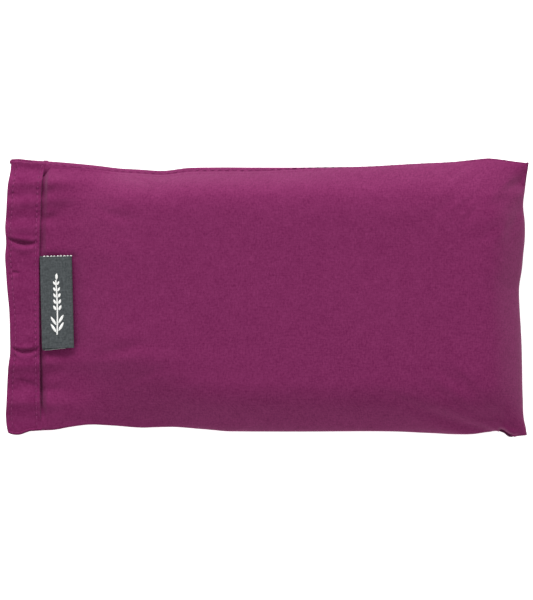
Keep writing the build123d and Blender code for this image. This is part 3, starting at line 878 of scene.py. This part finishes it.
def cuff_back_height(x, y):
    z = cuff_back_low(x, y)
    e1 = np.clip((x - MOUTH(y) + 0.2) / 0.7, 0, 1)
    e2 = np.clip((inner_edge(y) - x) / 0.6, 0, 1)
    z = z + 0.5 * (1 - np.sqrt(np.clip(1 - (1 - e1) ** 2, 0, 1))) + 0.4 * (1 - np.sqrt(np.clip(1 - (1 - e2) ** 2, 0, 1)))
    z = z - stitch_dip(x, y, row_mouth(y)) - stitch_dip(x, y + 0.7, row_inner(y))
    z = z + np.abs(0.08 * noise2(x, y, 4.2, 61)) * smooth(z / 1.0)
    z = z - 0.62 * peek(x) * roll(far_seam(x) - y, 0.75) * np.where(y > 0, 1, 0)
    return np.maximum(z, 0.0)


Q = back_grid(220, 130)
back = cloth_slab("cover_back_cloth", Q, 0.45, flat_pattern(Q), cloth_mat, up=False)
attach(back, "cover")
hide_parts("cover_back_panel")

X, Y, Y2 = cuff_grid(50, 340, False)
G = np.stack([X, Y2, cuff_back_height(X, Y)], -1)
cuff_b = cloth_slab("cuff_back_hem", G, 1.0, flat_pattern(G), cuff_mat, up=False)
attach(cuff_b, "cover")
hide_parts("mouth_cuff_back")
row("topstitch_mouth_back", row_mouth, lambda x, y: cuff_back_height(x, y) + 0.06, ys, False, 5, "mouth_topstitch_back", proud=0.05)
row("topstitch_inner_back", row_inner, lambda x, y: cuff_back_height(x, y) + 0.06, ys, False, 6, "cuff_topstitch_back", proud=0.05)


# ------------------------------------------------------------------ seams: the sewn edges turned in, with their thread
def seam_welt(name, line, inward, width, node, seed, painted_shade_from=None):
    """Two raw edges folded in along a sewn line, and short thread bars that cross the crevice; bars past the given x
    take the dark material as painted shade.
    """
    line = np.asarray(line, float)
    inward = np.asarray(inward, float)
    n = len(line)
    prof = [(-0.10, 0.32), (0.22, 0.16), (0.30, -0.10), (-0.10, -0.34), (-0.6, -0.42), (-width, -0.40), (-width, 0.38), (-0.6, 0.40)]
    m = len(prof)
    V = np.zeros((n, m, 3))
    for k, (out, z) in enumerate(prof):
        V[:, k] = line - inward * out
        V[:, k, 2] += z
    faces = []
    for i in range(n - 1):
        for k in range(m):
            a, b = i * m + k, i * m + (k + 1) % m
            faces.append((a, b, b + m, a + m))
    faces.append(tuple(range(m))[::-1])
    faces.append(tuple((n - 1) * m + k for k in range(m)))
    s = np.concatenate([[0], np.cumsum(np.linalg.norm(np.diff(line, axis=0), axis=1))])
    uv = np.stack(np.broadcast_arrays(s[:, None], np.array([p[1] * 2 + p[0] for p in prof])[None, :]), -1).reshape(-1, 2)
    ob = new_object(name + "_welt", V.reshape(-1, 3), faces, uv, cloth_mat)
    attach(ob, "cover")
    r = np.random.default_rng(seed)
    VV, FF, base, pos = [], [], 0, 1.5
    while pos < s[-1] - 1.5:
        p = np.array([np.interp(pos, s, line[:, c]) for c in range(3)])
        q = np.array([np.interp(pos + 1.75, s, line[:, c]) for c in range(3)])
        o = -np.array([np.interp(pos, s, inward[:, c]) for c in range(3)])
        pts = [p - o * 0.2 + [0, 0, 0.0], p + o * 0.12 + [0, 0, 0.12], (p + q) / 2 + o * 0.2 + [0, 0, 0.18 + r.normal(0, 0.03)], q + o * 0.12 + [0, 0, 0.12], q - o * 0.2]
        v, f = tube(pts, 0.16, sides=6)
        VV.append(v)
        FF += [tuple(i + base for i in t) for t in f]
        base += len(v)
        pos += 3.1 + r.normal(0, 0.1)
    th = new_object(name, np.concatenate(VV), FF, None, thread_painted_shade_mat)
    th.data.materials.append(seam_soft_mat)
    px_ = np.concatenate(VV)[:, 0]
    th.data.polygons.foreach_set("material_index", [0 if painted_shade_from is not None and px_[f[0]] > painted_shade_from else 1 for f in FF])
    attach(th, "cover")
    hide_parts(node)


xs = np.linspace(-104.5, 105.0, 260)
far_line = np.stack([xs, far_seam(xs), np.full_like(xs, SEAM_FAR)], -1)
# past x = 8 mm the far seam's thread bars take the dark material, painted shade for the dark dashes along its outline
seam_welt("side_seam_far", far_line, np.tile([0, -1.0, 0], (len(xs), 1)), 5.0, "side_seam_thread_left", 11, painted_shade_from=8.0)
near_line = np.stack([xs, -near_seam(xs), np.full_like(xs, SEAM_NEAR - 0.1)], -1)
seam_welt("side_seam_near", near_line, np.tile([0, 1.0, 0], (len(xs), 1)), 5.0, "side_seam_thread_right", 12)
# the seam's turned edge, where the tuck pulls the cloth off it, in the dark material: partly that edge and partly
# painted shadow in the tuck's recess
xb = np.linspace(94.4, 106.2, 56)
kb = (smooth((xb - 94.8) / 2.6) * smooth((105.0 - xb) / 3.4))[:, None]
ang = np.linspace(0, 2 * np.pi, 12, endpoint=False)[None, :]
yb = -near_seam(xb)[:, None] - 0.66 * kb + (0.16 + 0.44 * kb) * np.cos(ang)
zb = SEAM_NEAR - 0.3 + (0.16 + 0.42 * kb) * np.sin(ang)
Vb = np.stack(np.broadcast_arrays(xb[:, None], yb, zb), -1).reshape(-1, 3)
Fb = [(a * 12 + k, (a + 1) * 12 + k, (a + 1) * 12 + (k + 1) % 12, a * 12 + (k + 1) % 12) for a in range(55) for k in range(12)]
Fb += [tuple(range(12)), tuple(55 * 12 + k for k in range(12))[::-1]]
tuck_shadow_ob = new_object("near_corner_seam_shadow_bead", Vb, Fb, None, thread_painted_shade_mat)
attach(tuck_shadow_ob, "cover")
ye = np.linspace(-54.5, 55.0, 160)
end_line = np.stack([END(ye) - 0.5, ye, SEAM_NEAR - 0.1 + (SEAM_FAR - SEAM_NEAR) * smooth((ye + 30) / 60)], -1)
seam_welt("end_seam", end_line, np.tile([-1.0, 0, 0], (len(ye), 1)), 5.0, "end_seam_thread", 13)


# ------------------------------------------------------------------ label: a folded ribbon sewn into the cuff's turned edge
LX, LY, LZ = -92.95, -2.05, 9.75
SLOPE, TURN = math.radians(12.0), math.radians(1.4)


def on_label(s, t, h):
    """s along the label from its root, t along its width (Y), h above its middle plane: to frame mm."""
    s, t, h = np.broadcast_arrays(np.asarray(s, float), np.asarray(t, float), np.asarray(h, float))
    curl = 0.35 * (np.maximum(s, 0) / 13.0) ** 2 * (1 + 0.25 * np.sin(t * 0.11 + 0.7)) + 0.10 * np.sin(t * 0.21 + 1.0) * (s / 13.0)
    x = s * math.cos(SLOPE) - h * math.sin(SLOPE)
    z = s * math.sin(SLOPE) + h * math.cos(SLOPE) - curl
    cx, sx = math.cos(TURN), math.sin(TURN)
    return np.stack([LX + x * cx - t * sx, LY + t * cx + x * sx, LZ + z], -1)


half_w = 19.1
reach = 13.1
leaf = 0.36
path = [(-0.35, -0.42), (2.0, -0.40), (5.0, -0.38), (8.0, -0.37), (10.5, -0.37), (12.0, -0.38)]
for k in range(1, 10):
    an = -math.pi / 2 + math.pi * k / 10
    path.append((reach - 0.62 + 0.52 * math.cos(an), 0.36 * math.sin(an)))
path += [(12.0, 0.36), (10.5, 0.34), (8.0, 0.33), (5.0, 0.34), (2.0, 0.36), (-0.35, 0.36)]
path = np.array(path)
# finer along the path
ps = np.concatenate([[0], np.cumsum(np.linalg.norm(np.diff(path, axis=0), axis=1))])
q = np.linspace(0, ps[-1], 90)
px = np.interp(q, ps, path[:, 0])
ph = np.interp(q, ps, path[:, 1])
nt_ = 150
t = np.linspace(-half_w, half_w, nt_)
lower = smooth((0.0 - ph) / 0.3)
T = t[None, :] - 0.75 * lower[:, None] * smooth((11.5 - px[:, None]) / 11.5)
ripple = 0.05 * np.sin(t * 0.9 + 0.3)[None, :] * np.ones((90, 1))
Lg = on_label(px[:, None] * np.ones((1, nt_)), T, ph[:, None] + 0.04 * noise2(px[:, None] + 0 * T, T, 5.0, 71) + 0 * ripple)
cloth_uv = np.stack(np.broadcast_arrays(q[:, None], t[None, :]), -1)
# outer face points away from the fold's inside
nn = normals(Lg)
if nn[70, 75, 2] < 0:
    nn = -nn
inner = Lg - nn * leaf * 0.5
outer = Lg + nn * leaf * 0.5
Vv = np.concatenate([outer.reshape(-1, 3), inner.reshape(-1, 3)])
nat = np.cross(outer[71, 75] - outer[70, 75], outer[70, 76] - outer[70, 75])[2] > 0
fo = grid_faces(90, nt_, 0, flip=not nat)
fi = grid_faces(90, nt_, 90 * nt_, flip=nat)
ring = [(i, 0) for i in range(90)] + [(89, j) for j in range(1, nt_)] + [(i, nt_ - 1) for i in range(88, -1, -1)] + [(0, j) for j in range(nt_ - 2, 0, -1)]
idx = np.array([i * nt_ + j for i, j in ring])
nx = np.roll(idx, -1)
rim = np.stack([idx, idx + 90 * nt_, nx + 90 * nt_, nx], -1)
if not nat:
    rim = rim[:, ::-1]
label = new_object("label_folded_ribbon", Vv, np.concatenate([fo, fi, rim]), np.concatenate([cloth_uv.reshape(-1, 2)] * 2), label_mat)
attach(label, "label")
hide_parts("label_ribbon")

# white weft loops along the cut selvedge at the far end, and a pale thread line along the near one
VV, FF, base = [], [], 0
r = np.random.default_rng(5)
for k in range(9):
    s0 = 1.3 + k * 1.42
    a = s0 + r.normal(0, 0.06)
    w = 0.72 + r.normal(0, 0.08)
    pts = on_label(np.array([a, a + w * 0.3, a + w * 0.7, a + w]), np.array([half_w - 0.28, half_w + 0.02, half_w + 0.02, half_w - 0.28]), np.array([0.50, 0.60, 0.60, 0.50]))
    v, f = tube(pts, 0.17, sides=6)
    VV.append(v)
    FF += [tuple(i + base for i in x) for x in f]
    base += len(v)
selv = new_object("label_selvedge_weft", np.concatenate(VV), FF, None, pick_mat)
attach(selv, "label")
sn = np.linspace(0.6, 9.5, 24)
pts = on_label(sn, -half_w - 0.66 * smooth((11.5 - sn) / 11.5) + 0.03 * np.sin(sn * 5), np.full_like(sn, -0.18))
v, f = tube(pts, 0.13, sides=6)
selv2 = new_object("label_back_selvedge", v, f, None, pale_mat)
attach(selv2, "label")


def leaf_patch(s0, t0, ang, length, width, lift=0.53, rows=9, cols=25):
    """A satin-stitched leaf or bud: a pointed oval, domed, with fine ridges across."""
    a = np.linspace(-1, 1, cols)
    b = np.linspace(-1, 1, rows)
    Aa, Bb = np.meshgrid(a, b, indexing="ij")
    wd = width / 2 * (1 - np.abs(Aa) ** 2.2)
    u = Aa * length / 2
    w = Bb * wd
    hgt = lift + 0.20 * (1 - Bb**2) * (1 - Aa**4) + 0.02 * np.cos(u * 2 * np.pi / 0.32)
    hgt = np.where(np.abs(Bb) > 0.99, lift - 0.12, hgt)
    s = s0 + u * math.cos(ang) - w * math.sin(ang)
    tt = t0 + u * math.sin(ang) + w * math.cos(ang)
    top = on_label(s, tt, hgt)
    bot = on_label(s, tt, np.full_like(hgt, lift - 0.32))
    V2 = np.concatenate([top.reshape(-1, 3), bot.reshape(-1, 3)])
    natu = np.cross(top[13, 4] - top[12, 4], top[12, 5] - top[12, 4])[2] > 0
    f1 = grid_faces(cols, rows, 0, flip=not natu)
    f2 = grid_faces(cols, rows, cols * rows, flip=natu)
    rg = [(i, 0) for i in range(cols)] + [(cols - 1, j) for j in range(1, rows)] + [(i, rows - 1) for i in range(cols - 2, -1, -1)] + [(0, j) for j in range(rows - 2, 0, -1)]
    ix = np.array([i * rows + j for i, j in rg])
    n2 = np.roll(ix, -1)
    rm = np.stack([ix, ix + cols * rows, n2 + cols * rows, n2], -1)
    if not natu:
        rm = rm[:, ::-1]
    return V2, np.concatenate([f1, f2, rm]).tolist()


VV, FF, base = [], [], 0


def add(part):
    global base
    v, f = part
    VV.append(v)
    FF.extend([tuple(i + base for i in x) for x in f])
    base += len(v)


mid_s = 6.25
stem_t = np.linspace(-13.6, 9.0, 40)
stem = on_label(mid_s + 0.35 * np.sin((stem_t + 13.6) * 0.14), stem_t, np.full_like(stem_t, 0.56))
add(tube(stem, 0.30, sides=8, squash=0.6))
for k, t0 in enumerate((-11.3, -8.2)):
    add(leaf_patch(mid_s + 1.75, t0 + 1.1, math.radians(58), 4.4, 1.25))
    add(leaf_patch(mid_s - 1.45, t0 + 0.5, math.radians(122), 4.4, 1.25))
for k in range(5):
    t0 = -3.0 + k * 2.55
    w = 1.0 - 0.06 * k
    off = 0.35 * math.sin((t0 + 13.6) * 0.14)
    add(leaf_patch(mid_s + off + 1.12 * w, t0 + 0.6, math.radians(62), 2.35 * w, 1.25 * w))
    add(leaf_patch(mid_s + off - 1.12 * w, t0 + 0.6, math.radians(118), 2.35 * w, 1.25 * w))
add(leaf_patch(mid_s + 0.3, 10.5, math.radians(90), 2.8, 1.2))
sprig = new_object("label_stitched_sprig", np.concatenate(VV), FF, None, pick_mat)
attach(sprig, "label")
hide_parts("label_woven_sprig")


# ------------------------------------------------------------------ inner pillow: a muslin pouch of flax seed
PX0, PX1 = -91.5, 101.0


def pouch_side(x):
    return 48 + 1.2 * (bump(x + 91.5, 18) + bump(x - 101, 18))


def pouch_x0(y):
    return PX0 + 2 * (1 - np.minimum(1.1, np.abs(y) / 49.2) ** 3)


def pouch_x1(y):
    return PX1 - 2 * (1 - np.minimum(1.1, np.abs(y) / 49.2) ** 3)


PSEAM = 5.7


def under_cover(x, y, z, gap):
    """Keeps a height below the cover's front cloth by that gap, easing into it."""
    room = front_height(x, y) - gap - z
    return z + (room - np.sqrt(room * room + 0.05)) / 2


def pouch_grid(nu, nv, top):
    u = (grade(nu, 0.5) + 1) / 2
    v = grade(nv, 0.6)
    U, V = np.meshgrid(u, v, indexing="ij")
    x, y = np.zeros_like(U), np.zeros_like(U)
    for _ in range(12):
        y = V * (pouch_side(x) - 0.3)
        x = (1 - U) * (pouch_x0(y) + 0.3) + U * (pouch_x1(y) - 0.3)
    dS = pouch_side(x) - 0.3 - np.abs(y)
    d1 = pouch_x1(y) - 0.3 - x
    d0 = x - pouch_x0(y) - 0.3
    away = smooth(np.minimum(np.minimum(dS, d1), d0) / 7)
    grain = 0.10 * noise2(x, y, 2.6, 81) + 0.07 * noise2(x, y * 1.4, 1.7, 82)
    if top:
        k = swell_up(dS, 16.5, 2.5) * swell_up(d1, 14.5, 2.5)
        k = k * (0.10 * swell_up(d0, 5.0) + 0.90 * swell(d0 / 43))
        crown = 1 - 0.05 * np.minimum(1, (y / 40) ** 2)
        z = PSEAM + (18.35 - PSEAM) * k * crown + away * (grain + 0.12 * noise2(x, y, 14, 83))
    else:
        k = swell(dS / 12.5) * swell(d1 / 12.5) * swell(d0 / 12.5)
        z = PSEAM - 0.2 - 3.35 * k + away * np.maximum(grain, -0.1) * 0.8
    # small gathers that run in from the seam
    gx = 0.26 * np.sin(x * 0.83 + 2.2 * noise2(x, y * 0 + 3, 17, 84)) * np.exp(-((dS - 3.2) / 3.0) ** 2) * smooth(dS / 2)
    ge = 0.26 * np.sin(y * 0.9 + 2.0 * noise2(y, x * 0 + 5, 15, 85)) * np.exp(-((np.minimum(d0, d1) - 3.2) / 3.0) ** 2) * smooth(np.minimum(d0, d1) / 2)
    z = z + (gx + ge) * (1 if top else -0.6)
    if top:
        z = under_cover(x, y, z, 1.0)
    return np.stack([x, y, z], -1)


Pt = pouch_grid(260, 140, True)
Pb = pouch_grid(200, 110, False)


def cover_above(pts):
    """Height of the draped front cloth above each point: the lowest of its grid points close by."""
    flat = P.reshape(-1, 3)
    tree = KDTree(len(flat))
    for i, (px_, py_, _) in enumerate(flat):
        tree.insert((px_, py_, 0.0), i)
    tree.balance()
    return np.array([min(flat[i][2] for _, i, _ in tree.find_n((a, b, 0.0), 4)) for a, b, _ in pts.reshape(-1, 3)]).reshape(pts.shape[:-1])


C = pouch_grid(110, 64, True)
pin = np.zeros(C.shape[:2])
pin[0] = pin[-1] = 1
pin[:, 0] = pin[:, -1] = 1
D = drape("pouch_sim", C, pin, np.full(C.shape[:2], 1.004), 1.0, 0.8)
D = resample(blur(D, 2), 260, 140)
D = D - 0.9 * blur(blur(D, 30), 30)
D[..., 2] = np.minimum(D[..., 2], 0.15)
e = np.minimum(np.minimum(np.arange(260), np.arange(260)[::-1])[:, None], np.minimum(np.arange(140), np.arange(140)[::-1])[None, :])
Pt = Pt + 0.5 * D * smooth(e / 5.0)[..., None]
def below_cover(pts, gap):
    """Presses points down where they would come closer to the front cloth than that gap."""
    room = cover_above(pts) - gap - pts[..., 2]
    pts[..., 2] += (room - np.sqrt(room * room + 0.04)) / 2


below_cover(Pt, 0.85)
below_cover(Pb, 1.25)
pt = cloth_slab("pouch_top_cloth", Pt, 0.4, flat_pattern(Pt), muslin_mat)
pb = cloth_slab("pouch_bottom_cloth", Pb, 0.4, flat_pattern(Pb), muslin_mat, up=False)
for ob, node in ((pt, "pouch_top_panel"), (pb, "pouch_bottom_panel")):
    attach(ob, "inner_pillow")
    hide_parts(node)

# the pouch's sewn edge: a stitched line just inside a thin flat rim
xr = np.linspace(-89.6, 99.0, 300)
yr = np.linspace(-46.8, 46.8, 160)
loop = np.concatenate([
    np.stack([xr, pouch_side(xr) - 0.25, np.full_like(xr, PSEAM)], -1),
    np.stack([pouch_x1(yr[::-1]) - 0.25, yr[::-1], np.full_like(yr, PSEAM)], -1),
    np.stack([xr[::-1], -(pouch_side(xr[::-1]) - 0.25), np.full_like(xr, PSEAM)], -1),
    np.stack([pouch_x0(yr) + 0.25, yr, np.full_like(yr, PSEAM)], -1),
])
below_cover(loop, 0.95)
v, f = tube(loop, 0.34, sides=8)
rope = new_object("pouch_seam_rim", v, f, np.stack([np.repeat(np.arange(len(loop)) * 0.7, 8), np.tile(np.arange(8) * 0.3, len(loop))], -1), muslin_mat)
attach(rope, "inner_pillow")
nrm = np.zeros_like(loop)
nrm[:300, 1] = 1
nrm[300:460, 0] = 1
nrm[460:760, 1] = -1
nrm[760:, 0] = -1
nrm[:, 2] = 0.6
nrm /= np.linalg.norm(nrm, axis=1, keepdims=True)
ob = stitches("pouch_seam_stitches", loop + nrm * 0.30, nrm, 2.8, 0.7, 0.17, pouch_thread_mat, seed=9, sink=0.25, proud=0.10)
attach(ob, "inner_pillow")
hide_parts("pouch_seam_thread")


def over_pouch(x, y):
    """Height of the pouch's top cloth at a point, read from its own grid."""
    i = np.argmin((Pt[:, :, 0] - x) ** 2 + (Pt[:, :, 1] - y) ** 2)
    return Pt.reshape(-1, 3)[i, 2]


# hand-closed gap at the pouch's end: slanted whip stitches
VV, FF, base = [], [], 0
r = np.random.default_rng(21)
for k in range(22):
    yy = -31.5 + k * 3.0 + r.normal(0, 0.15)
    xx = -86.4 + 0.4 * math.sin(yy * 0.15)
    p = np.array([xx - 0.75, yy - 0.7, over_pouch(xx - 0.75, yy - 0.7) + 0.02])
    q2 = np.array([xx + 0.75, yy + 0.7, over_pouch(xx + 0.75, yy + 0.7) + 0.02])
    m2 = (p + q2) / 2
    m2[2] = over_pouch(m2[0], m2[1]) + 0.22
    v, f = tube([p - [0, 0, 0.3], p, m2, q2, q2 - [0, 0, 0.3]], 0.2, sides=6)
    VV.append(v)
    FF += [tuple(i + base for i in x) for x in f]
    base += len(v)
ob = new_object("pouch_closing_whipstitch", np.concatenate(VV), FF, None, pouch_thread_mat)
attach(ob, "inner_pillow")
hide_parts("pouch_closing_stitch")

# the seed fill, inside the pouch: a heap with a seed-sized grain
fu, fv = grade(150, 0.3), grade(90, 0.3)
FU, FV = np.meshgrid(fu, fv, indexing="ij")
fx = 4.7 + FU * 92.0
fy = FV * 46.0
d = np.minimum(46.2 - np.abs(fy), np.minimum(96.9 - fx, fx + 87.6))
d = np.maximum(d, 0)
tz = 5.75 + (16.6 - 5.75) * swell_up(46.4 - np.abs(fy), 17) * swell_up(97 - fx, 15) * (0.08 * swell_up(fx + 87.6, 4) + 0.92 * swell((fx + 88.2) / 44))
tz = tz + smooth(d / 3) * 0.22 * noise2(fx, fy, 2.2, 91)
tz = under_cover(fx, fy, tz, 1.9)
top_f = np.stack([fx, fy, tz], -1)
room = cover_above(top_f) - 1.8 - tz
tz = np.maximum(tz + (room - np.sqrt(room * room + 0.04)) / 2, 5.6)
bz = 5.45 - 2.6 * swell(d / 12.5)
top_f = np.stack([fx, fy, tz], -1)
bot_f = np.stack([fx, fy, np.minimum(bz, tz - 0.2)], -1)
Vf = np.concatenate([top_f.reshape(-1, 3), bot_f.reshape(-1, 3)])
rg = [(i, 0) for i in range(150)] + [(149, j) for j in range(1, 90)] + [(i, 89) for i in range(148, -1, -1)] + [(0, j) for j in range(88, 0, -1)]
ix = np.array([i * 90 + j for i, j in rg])
n2 = np.roll(ix, -1)
rm = np.stack([ix, ix + 150 * 90, n2 + 150 * 90, n2], -1)
fill = new_object("flax_seed_heap", Vf, np.concatenate([grid_faces(150, 90), grid_faces(150, 90, 150 * 90, flip=True), rm]), None, flax_mat)
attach(fill, "inner_pillow")
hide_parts("flax_seed_fill")

# carried-over CAD solids
for s in NODES["lavender_buds"].material_slots:
    s.material = bud_mat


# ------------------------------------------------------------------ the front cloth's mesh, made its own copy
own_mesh(front)


# ------------------------------------------------------------------ floor, light and camera
scene = bpy.context.scene
scene.view_settings.view_transform = "Standard"
scene.view_settings.look = "None"

bpy.ops.mesh.primitive_plane_add(size=6.0, location=(0, 0, -0.0003))
floor = bpy.context.object
floor.name = "floor"
fm = bpy.data.materials.new("studio_paper")
nt, sh = nodes_of(fm)
sh.inputs["Base Color"].default_value = (0.93, 0.93, 0.93, 1)
sh.inputs["Roughness"].default_value = 0.9
sh.inputs["Specular IOR Level"].default_value = 0.0
sh.inputs["Emission Color"].default_value = (1, 1, 1, 1)
sh.inputs["Emission Strength"].default_value = 0.6
floor.data.materials.append(fm)

world = bpy.data.worlds.new("studio")
scene.world = world
world.use_nodes = True
bg = world.node_tree.nodes["Background"]
bg.inputs[0].default_value = (1.0, 1.0, 1.0, 1)
bg.inputs[1].default_value = 0.62


def softbox(name, at, aim, size, power):
    li = bpy.data.lights.new(name, "AREA")
    li.shape = "RECTANGLE"
    li.size, li.size_y = size
    li.energy = power
    ob = bpy.data.objects.new(name, li)
    scene.collection.objects.link(ob)
    ob.location = at
    ob.rotation_mode = "QUATERNION"
    ob.rotation_quaternion = (Vector(at) - Vector(aim)).to_track_quat("Z", "Y")
    return ob


softbox("key_far", (-0.10, 1.04, 0.62), (0, 0, 0), (1.4, 0.6), 20.5)
softbox("near_fill", (0.1, -1.05, 0.16), (0, 0, 0.01), (1.4, 0.25), 3.0)
softbox("top_fill", (-0.35, 0.0, 1.5), (0, 0, 0), (0.9, 0.9), 5.0)

cam_data = bpy.data.cameras.new("camera")
cam_data.sensor_fit = "VERTICAL"
cam_data.sensor_height = 24.0
cam_data.sensor_width = 24.0
DIST = 2.2
SEEN = 0.2489
cam_data.lens = 24.0 / (SEEN / (DIST - 0.006))
cam = bpy.data.objects.new("camera", cam_data)
scene.collection.objects.link(cam)
cam.location = (0.0, -0.00104, DIST)
cam.rotation_euler = (0, 0, 0)
cam_data.clip_start, cam_data.clip_end = 0.01, 20
scene.camera = cam
